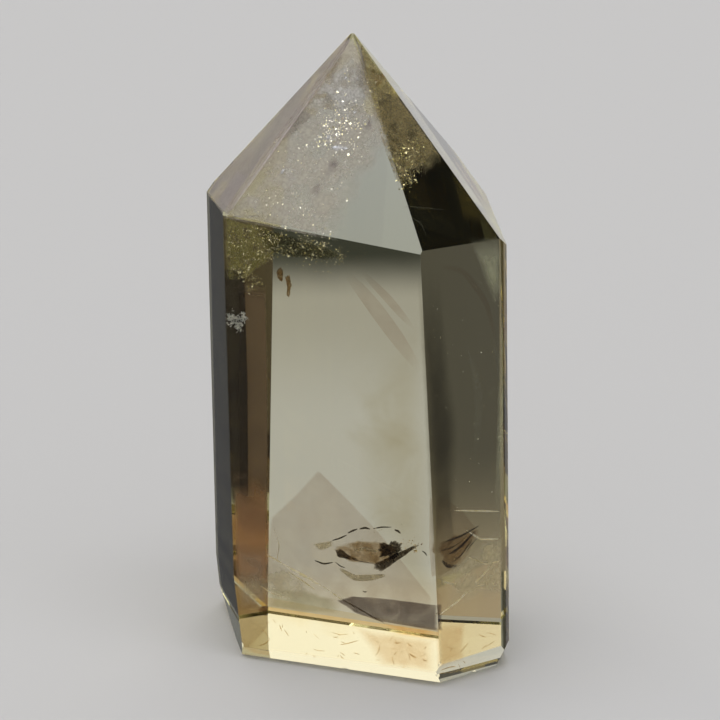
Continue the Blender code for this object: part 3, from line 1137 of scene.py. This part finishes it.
@dataclass(frozen=True)
class Scuffs(Growth):
    """Short curved scuffs scattered over the foot of the front and right faces, always alike."""

    count: int = 44
    seed: int = 77
    facing: Place = (0.24, -0.94, 0.23)

    def parts(self) -> list[Part]:
        """Their closed strokes."""
        chance = np.random.default_rng(self.seed)
        front = chance.uniform(size=self.count) < 0.75
        x = np.where(front, chance.uniform(-8.0, 15.0, self.count),
                     chance.uniform(16.2, 20.2, self.count))
        z = chance.uniform(1.6, 5.8, self.count)
        turn = chance.uniform(0.0, np.pi, self.count)
        long = 0.18 * 4.0 ** chance.uniform(size=self.count)
        bend = chance.normal(scale=0.16, size=self.count) * long
        width = chance.uniform(0.05, 0.13, self.count)
        steps = np.array([-1.0, -0.4, 0.4, 1.0])[:, None]
        xs = x + steps * long * np.cos(turn) - (steps ** 2) * bend * np.sin(turn)
        xs = np.where(front, xs, np.clip(xs, 16.0, 20.6))
        zs = z + steps * long * np.sin(turn) + (steps ** 2) * bend * np.cos(turn)
        zs = np.maximum(zs, 1.2)
        return [stroke((FRONT if front[k] else RIGHT).at(xs[:, k], zs[:, k], 0.45), float(width[k]),
                       4, 10, 0.5, unit(np.array(self.facing))) for k in range(self.count)]


@dataclass(frozen=True)
class GrowthLines(Inclusions):
    """Cream growth arcs, golden lines, faint bands and specks, and the scratches of the base."""

    cream: Growth = Growth("growth_arcs", GlintFlake("growth_arc", "FFF6DA", "EFE2B4", 0.35, 0.32), (
        *threads(FRONT, 2.3, (0.22, -11, 16.2, -7.6, 14.7, -4.4, 13.4),
                 (0.42, -5, 13.6, -2.4, 12.5, 0.2, 11.4), (0.24, -0.4, 11.8, 2.4, 10.2, 4.6, 9.2),
                 (0.18, 3.6, 9.8, 6.2, 8.6, 8.6, 7.6), flat=0.04, sides=4),
        Thread(FRONT, ((-4.6, 12.8), (-2.4, 11.7), (-0.8, 10.8)), 2.5, 0.2, 0.04, 4),
        Thread(FRONT, ((-9, 10.6), (-6.6, 9.4), (-4.2, 9)), 2, 0.16, 0.04, 4),
        Thread(FRONT, ((-6.4, 18.4), (-5.6, 16.2), (-6, 13.8)), 2.6, 0.1, 0.04, 4),
        Thread(RIGHT, ((15.9, 14.2), (17.6, 12.6), (19.8, 12)), (1.4, 1.4, 1), 0.26, 0.04, 4),
        Thread(RIGHT, ((15.8, 9.8), (17.4, 11), (20.2, 14.6)), (1.4, 1.4, 1), 0.22, 0.04, 4),
        Thread(RIGHT, ((17.8, 20), (19, 18.2), (20.5, 17.6)), (1.4, 1.4, 0.8), 0.24, 0.04, 4),
        Thread(RIGHT, ((18, 16.4), (19.4, 14.8), (20.6, 14.6)), (1.4, 1.2, 0.8), 0.18, 0.04, 4),
        Thread(RIGHT, ((16.8, 23), (18.9, 22), (20.5, 21.2)), (1.4, 1.2, 0.8), 0.24, 0.04, 4),
    ), False)
    faint: Growth = Growth("lilac_bands", FilmStain(
        "lilac_band", "B8A6A0", "F3ECE7", 0.03, 1.6, 0.03, 1.0), (
        Thread(FRONT, ((3.4, 54.2), (7, 50.4), (10.6, 46), (13.6, 42)), (2.4, 2.4, 2.4, 2), 2.2,
               0.05),
        Thread(FRONT, ((5.6, 54.4), (9.4, 51), (12.8, 47.4)), (2.8, 2.8, 2.4), 1.2, 0.06),
        Thread(RIGHT, ((14.6, 55.6), (17, 54), (19, 49), (20.2, 41)), (2, 2, 1.6, 1.2), 0.8, 0.1),
    ))
    haze: Growth = Growth("haze_bands", FilmStain(
        "haze_band", "C2C6B4", "FFFFFF", 0.1, 1.2, 0.08, 0.9), (
        Thread(RIGHT, ((17.4, 45), (18.6, 37), (18.4, 28)), 2, 1.4, 0.1),
        Thread(RIGHT, ((19.4, 46), (20.4, 38), (20.6, 30)), (1.4, 1.2, 1.2), 0.9, 0.1),
        Thread(TIP_RIGHT, ((9.9, 62.6), (11.8, 61.8), (14.4, 60.8)), (1.2, 1.4, 1.4), 0.3, 0.2),
        Thread(TIP_RIGHT, ((11, 61.4), (12.4, 60.4), (13.6, 58.8)), (1.2, 1.4, 1.4), 0.26, 0.2),
    ))
    marks: Growth = Growth("base_marks", SCRATCH, (
        *threads(FRONT, 0.5, (0.14, -8.6, 2, -7.6, 2.5, -7, 3.2),
                 (0.1, -8.2, 4.4, -7.6, 4, -7.2, 3.3), (0.1, -1.2, 2.7, -0.4, 2.6, 0.6, 2.7),
                 (0.14, 2.4, 3.8, 3.6, 4.2, 5.2, 4.9), (0.08, 1.2, 5.4, 2.6, 5.2, 3.8, 5.5),
                 (0.08, 7.2, 3, 7.8, 3.8, 7.9, 4.8), (0.18, 9.8, 5.3, 10.2, 5.2, 10.8, 5.4),
                 (0.24, 11.8, 4.1, 12.3, 3.8, 12.9, 3.6), (0.18, 13.6, 3.6, 13.9, 3.4, 14.3, 3.5)),
        Thread(RIGHT, ((16.1, 2.3), (16.8, 2.4), (17.4, 2.2)), 0.5, 0.16),
    ))
    scuffs: Growth = Scuffs("scuffs", SCRATCH)
    specks: Growth = Growth("dust", GlintFlake("dust", "F4F1DC", "B4B08E", 0.6, 0.3), (
        Cloud(RIGHT, (14.6, 20.4), (22, 52), (0.5, 3), 60, (0.04, 0.12), 0.25, 31),
        Cloud(FRONT, (-10, 14), (10, 30), (0.5, 4), 60, (0.03, 0.09), 0.25, 32),
        Cloud(FRONT, (-10, -6), (8, 14), (0.5, 3), 60, (0.04, 0.12), 0.25, 33, 8, 0.7),
    ), False)


# --------------------------------------------------------------------------- the studio


@dataclass(frozen=True)
class Patch:
    """A soft-edged panel of the studio, seen as a range of directions from the crystal."""

    name: str
    azimuth: Span                      # from the looking direction, growing to the right
    elevation: Span
    light: tuple[float, float, float]
    edge: float                        # width of the soft edge


@dataclass
class Studio:
    """Pale floor, a soft dome with light and dark panels, and the camera."""

    camera_place: Place = (314.4, -792.0, 345.49)
    camera_tilt: float = 70.093
    lens: float = 360.0
    sensor: float = 36.0
    near: float = 50.0
    far: float = 50000.0
    floor_size: float = 12000.0
    floor_cells: int = 8
    floor_drop: float = 0.05           # just clear of the base, so that the two never fight
    floor_colour: str = "CBCBCC"
    backdrop: tuple[float, float, float] = (0.58, 0.58, 0.59)
    table_glow: tuple[float, float, float] = (0.5, 0.5, 0.51)
    sky: tuple[float, float, float] = (0.34, 0.35, 0.37)
    horizon: float = 4.0               # width of the soft step from table to sky
    bounces: int = 24                  # light turns round inside the crystal many times
    patches: tuple[Patch, ...] = (
        Patch("room behind, right", (98, 190), (4, 66), (0.72, 0.72, 0.73), 8),
        Patch("room behind, left", (-190, -126), (4, 66), (0.72, 0.72, 0.73), 8),
        Patch("overhead light", (-190, 190), (62, 95), (2.9, 2.9, 2.93), 8),
        Patch("window", (-32, 30), (3, 46), (1.16, 1.09, 0.92), 6),
        Patch("left window", (-80, -40), (9, 40), (1.05, 0.93, 0.66), 8),
        Patch("far left light", (-150, -110), (38, 65), (0.7, 0.68, 0.64), 6),
        Patch("left rear glow", (-150, -120), (8, 21), (0.66, 0.58, 0.55), 4),
        Patch("left rear warmth", (-150, -120), (22, 36), (0.3, 0.2, 0.15), 4),
        Patch("right dark", (62, 104), (26, 58), (0.03, 0.03, 0.03), 8),
        Patch("far table", (-60, 60), (-17.6, 1), (0.6, 0.6, 0.61), 1.5),
        Patch("far table, left", (-44, -12), (-9, 2), (0.33, 0.31, 0.3), 4),
        Patch("warm sill", (-8, 14), (-9, 1), (0.74, 0.58, 0.37), 4),
        Patch("near table", (-40, 40), (-62, -30), (0.36, 0.38, 0.41), 8),
        Patch("table in shade", (-30, 30), (-19.7, -18), (0.4, 0.39, 0.37), 1),
        Patch("table edge", (-30, 30), (-18.99, -17.9), (0.042, 0.046, 0.038), 0.42),
        Patch("table by the foot", (-12, 12), (-30, -21.4), (0.57, 0.54, 0.5), 0.3),
        Patch("table under the bevel", (6, 26), (-72, -55), (0.85, 0.76, 0.6), 4),
        Patch("shelf on the left", (-118, -103), (37, 47), (0.95, 0.82, 0.62), 4),
        Patch("left near table", (-72, -40), (-42, -20), (0.47, 0.4, 0.29), 5),
        Patch("left card", (-72, -40), (-23.1, -6), (0.08, 0.078, 0.062), 1.5),
        Patch("left card behind", (-36, -10.5), (-31, -10), (0.06, 0.06, 0.062), 3),
        Patch("left table, rear", (-120, -98), (-34, -8), (0.25, 0.215, 0.185), 5),
        Patch("left dark", (-113, -90), (12, 30), (0.05, 0.05, 0.05), 5),
        Patch("left dark, high", (-124, -114), (34, 48), (0.08, 0.08, 0.07), 3),
        Patch("dim corner overhead", (30, 94), (56, 82), (0.45, 0.47, 0.52), 8),
        Patch("dim ceiling, left", (-64, -38), (62, 72), (0.4, 0.41, 0.43), 4),
        Patch("dim ceiling, behind", (166, 192), (76, 86), (0.5, 0.5, 0.51), 5),
        Patch("dim ceiling, behind left", (-192, -166), (76, 86), (0.5, 0.5, 0.51), 5),
        Patch("right rear floor", (118, 142), (-56, -36), (0.02, 0.02, 0.02), 4),
        Patch("near card, left", (-150, -121), (-34, -7), (0.075, 0.062, 0.06), 5),
        Patch("near card", (-172, -144), (-80, -33), (0.004, 0.004, 0.004), 6),
        Patch("right card", (44, 72), (-33, -7), (0.05, 0.05, 0.055), 4),
        Patch("right table", (86, 122), (-30, -7), (0.2, 0.2, 0.2), 5),
        Patch("right table, near", (84, 104), (-60, -36), (0.03, 0.03, 0.03), 4),
    )

    def build(self) -> None:
        """Lay the floor, light the dome and set the camera."""
        self.floor()
        self.dome()
        self.camera()
        bpy.context.scene.view_settings.view_transform = "Standard"
        cycles = bpy.context.scene.cycles
        cycles.max_bounces = cycles.glossy_bounces = self.bounces
        cycles.transmission_bounces = cycles.transparent_max_bounces = self.bounces

    def floor(self) -> None:
        """A flat matte floor."""
        cells, half = self.floor_cells, self.floor_size / 2 * MM
        grid, steps = np.linspace(-half, half, cells + 1), np.arange(cells)
        x, y = (axis.ravel() for axis in np.meshgrid(grid, grid))
        row, column = (axis.ravel() for axis in np.meshgrid(steps, steps))
        first = row * (cells + 1) + column
        quads = np.stack([first, first + 1, first + cells + 2, first + cells + 1], axis=1)
        mesh = bpy.data.meshes.new("floor")
        mesh.from_pydata(np.stack([x, y, np.full_like(x, -self.floor_drop * MM)], axis=1).tolist(),
                         [], quads.tolist())
        floor = place_in_scene("floor", mesh)
        mat, tree, _ = blank("floor_matte_board")
        shader = add_node(tree, "ShaderNodeBsdfDiffuse", {"Color": linear(self.floor_colour)})
        add_node(tree, "ShaderNodeOutputMaterial", None, {"Surface": shader.outputs[0]})
        mesh.materials.append(mat)
        floor.visible_transmission = False
        floor.visible_glossy = False

    def dome(self) -> None:
        """Paint the dome by direction: sky above, the lit table below, and the panels."""
        world = bpy.data.worlds.new("studio")
        bpy.context.scene.world = world
        world.use_nodes = True
        tree = world.node_tree
        tree.nodes.clear()
        way = add_node(tree, "ShaderNodeTexCoord").outputs["Generated"]
        turned = add_node(tree, "ShaderNodeVectorRotate",
                          {"rotation_type": "Z_AXIS", "Angle": math.radians(-LOOK_AZIMUTH)},
                          {"Vector": way})
        axes = add_node(tree, "ShaderNodeSeparateXYZ", None, {0: turned.outputs[0]}).outputs
        turn = add_node(tree, "ShaderNodeMath", {"operation": "ARCTAN2"},
                        {0: axes["X"], 1: axes["Y"]})
        lift = add_node(tree, "ShaderNodeMath", {"operation": "ARCSINE"}, {0: axes["Z"]})
        azimuth, elevation = (add_node(tree, "ShaderNodeMath", {"operation": "DEGREES"},
                                       {0: angle.outputs[0]}).outputs[0] for angle in (turn, lift))

        def within(value: bpy.types.NodeSocket, ends: Span, edge: float) -> bpy.types.NodeSocket:
            """1 between two angles and 0 outside them, with a soft edge."""
            low, high = (
                add_node(tree, "ShaderNodeMapRange",
                         {"interpolation_type": "SMOOTHSTEP", "From Min": end - edge / 2,
                          "From Max": end + edge / 2, "To Min": start, "To Max": 1.0 - start},
                         {"Value": value}).outputs[0] for end, start in zip(ends, (0.0, 1.0)))
            return add_node(tree, "ShaderNodeMath", {"operation": "MULTIPLY"},
                            {0: low, 1: high}).outputs[0]

        above = add_node(tree, "ShaderNodeMapRange",
                         {"interpolation_type": "SMOOTHSTEP", "From Min": -self.horizon / 2,
                          "From Max": self.horizon / 2}, {"Value": elevation}).outputs[0]
        colour = add_node(tree, "ShaderNodeMix", {"data_type": "RGBA", 6: (*self.table_glow, 1.0),
                                                  7: (*self.sky, 1.0)}, {0: above}).outputs[2]
        shares = [add_node(tree, "ShaderNodeMath", {"operation": "MULTIPLY"},
                           {0: within(azimuth, patch.azimuth, patch.edge),
                            1: within(elevation, patch.elevation, patch.edge)}).outputs[0]
                  for patch in self.patches]
        straight = add_node(tree, "ShaderNodeLightPath").outputs["Is Camera Ray"]
        for share, light in zip([*shares, straight],
                                [*(patch.light for patch in self.patches), self.backdrop]):
            colour = add_node(tree, "ShaderNodeMix", {"data_type": "RGBA", 7: (*light, 1.0)},
                              {0: share, 6: colour}).outputs[2]
        glow = add_node(tree, "ShaderNodeBackground", None, {"Color": colour})
        add_node(tree, "ShaderNodeOutputWorld", None, {"Surface": glow.outputs[0]})

    def camera(self) -> None:
        """A long lens, level, a little above the crystal."""
        data = bpy.data.cameras.new("camera")
        data.lens = self.lens
        data.sensor_width = self.sensor
        data.clip_start = self.near * MM
        data.clip_end = self.far * MM
        camera = place_in_scene("camera", data)
        camera.location = [value * MM for value in self.camera_place]
        camera.rotation_euler = (math.radians(self.camera_tilt), 0.0, math.radians(LOOK_AZIMUTH))
        bpy.context.scene.camera = camera


def main() -> None:
    """Build every piece in order and report it."""
    logging.basicConfig(level=logging.INFO, format="%(name)s: %(message)s")
    Studio().build()
    for group in (CrystalBody(), TipMist(), ShoulderMist(), HealedFracture(), Phantom(), EdgeFilms(),
                  Haze(), GrowthLines()):
        for made in group.build():
            log.info("%s, %s: %d faces", type(group).__name__, made.name, len(made.data.polygons))


if __name__ == "__main__":
    main()
